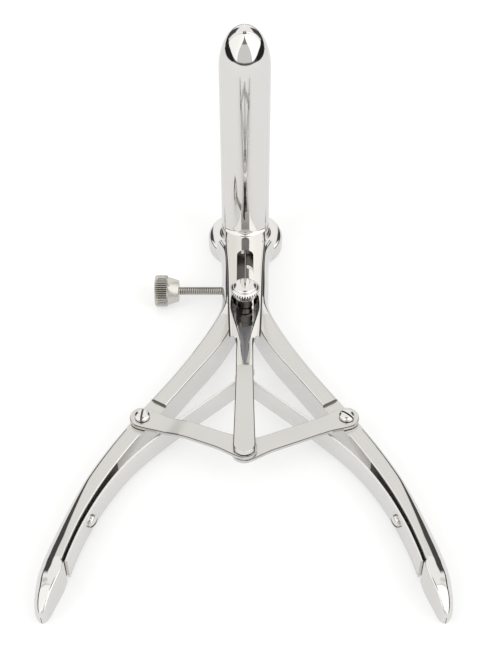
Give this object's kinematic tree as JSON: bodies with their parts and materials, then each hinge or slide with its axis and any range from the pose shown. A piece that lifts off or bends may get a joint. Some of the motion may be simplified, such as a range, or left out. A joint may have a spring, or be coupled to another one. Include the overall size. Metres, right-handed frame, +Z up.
{
  "type": "three-blade rectal speculum",
  "caption": "Hand-held surgical speculum: squeezing the two handles spreads three tubular blades, held by a thumbscrew.",
  "frame": {"origin": "pivot axis of the two levers, on the flush underside of the pivot stud", "axes": "+Z up along the pivot axis and the blades; -Y towards the handle tips; +X to the right of someone at the handle end"},
  "size_m": [0.1136, 0.1729, 0.091],
  "materials": {
    "polished_steel": "mirror polished",
    "satin_steel": "satin",
    "spring_steel": "semi-bright",
    "turned_steel": "turned"
  },
  "bodies": {
    "pivot": {"pivot_stud": "turned_steel", "slot_bush": "turned_steel"},
    "left_lever": {"left_lever": "polished_steel", "left_spring": "spring_steel", "left_spring_screw": "turned_steel", "left_link_screw": "turned_steel"},
    "right_lever": {"right_lever": "polished_steel", "right_spring": "spring_steel", "right_spring_screw": "turned_steel", "right_link_screw": "turned_steel"},
    "third_blade": {"third_blade": "polished_steel", "link_rivet": "turned_steel"},
    "left_link": {"left_link": "satin_steel"},
    "right_link": {"right_link": "satin_steel"},
    "spreader_screw": {"thumbscrew": "turned_steel"},
    "nut": {"pivot_nut": "polished_steel"}
  },
  "joints": [
    {"name": "left_hinge", "type": "hinge", "parent": "pivot", "child": "left_lever", "pos_m": [0, 0, 0], "axis": [0, 0, 1], "range_deg": [0, 10], "stiffness_Nm_per_rad": 0.5, "springref_deg": -8.59, "deforming": ["left_spring"]},
    {"name": "right_hinge", "type": "hinge", "parent": "pivot", "child": "right_lever", "pos_m": [0, 0, 0], "axis": [0, 0, 1], "range_deg": [-10.2, 0.2], "deforming": ["right_spring"]},
    {"name": "blade_slide", "type": "slide", "parent": "pivot", "child": "third_blade", "axis": [0, -1, 0], "range_m": [-0.0002, 0.0189]},
    {"name": "left_link_hinge", "type": "hinge", "parent": "left_lever", "child": "left_link", "pos_m": [-0.0313, -0.0534, 0.0105], "axis": [0, 0, 1], "range_deg": [-39, 0.5]},
    {"name": "right_link_hinge", "type": "hinge", "parent": "right_lever", "child": "right_link", "pos_m": [0.0313, -0.0534, 0.0105], "axis": [0, 0, 1], "range_deg": [-0.5, 39]},
    {"name": "screw_travel", "type": "slide", "parent": "left_lever", "child": "spreader_screw", "axis": [-1, 0, 0], "range_m": [0, 0.01]},
    {"name": "nut_turn", "type": "hinge", "parent": "pivot", "child": "nut", "pos_m": [0, 0, 0], "axis": [0, 0, 1], "range_deg": [0, 360]}
  ],
  "couplings": [
    {"joint": "right_hinge", "follows": "left_hinge", "ratio": -1},
    {"joint": "blade_slide", "follows": "left_hinge", "m_per_rad": 0.10687},
    {"joint": "left_link_hinge", "follows": "left_hinge", "ratio": -3.851},
    {"joint": "right_link_hinge", "follows": "left_hinge", "ratio": 3.851}
  ]
}
